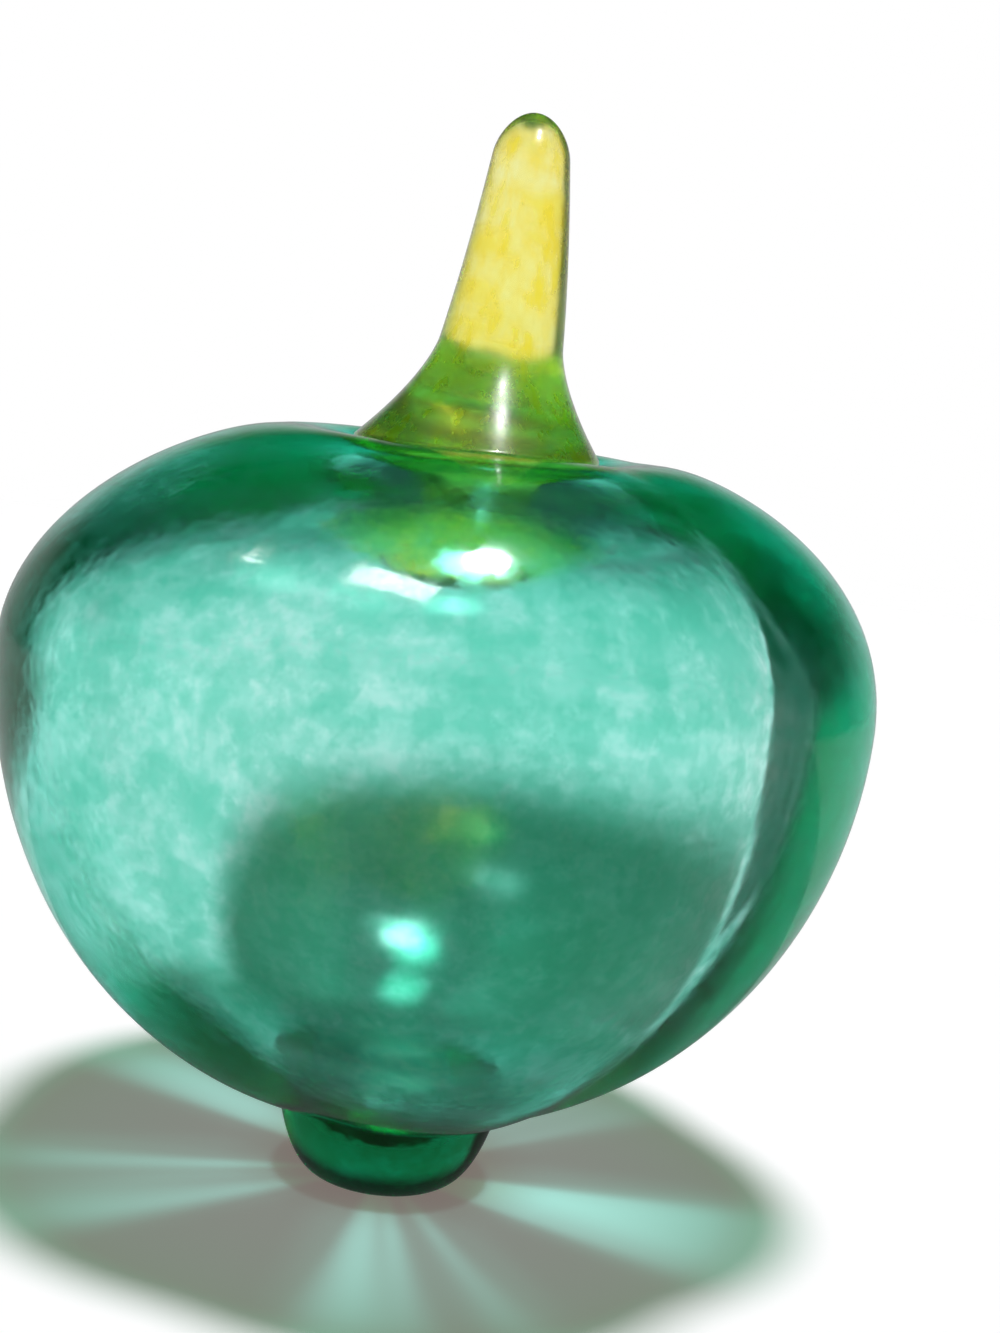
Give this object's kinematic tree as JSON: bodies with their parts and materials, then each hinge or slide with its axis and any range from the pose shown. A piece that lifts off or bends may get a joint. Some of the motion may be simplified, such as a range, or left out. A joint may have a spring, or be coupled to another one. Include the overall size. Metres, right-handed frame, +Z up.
{
  "type": "blown glass gourd",
  "caption": "Hollow lobed glass gourd in translucent teal, with a leaning yellow glass stem drawn out over its crown and a dark green button foot that it stands on.",
  "frame": {"origin": "centre of the foot's flat underside", "axes": "+Z up along the gourd's axis from the foot to the crown, -Y towards the front lobe, +X the way that the stem leans"},
  "size_m": [0.0788, 0.079, 0.0996],
  "materials": {
    "teal_glass": "blown, fire polished, with fine cloudy colour grain",
    "yellow_glass": "hot drawn, fire polished, with drawn colour streaks",
    "green_glass": "hot pressed, fire polished, with a ground flat underside"
  },
  "bodies": {
    "root": {"body_shell": "teal_glass", "stem": "yellow_glass", "foot_button": "green_glass"}
  },
  "joints": []
}
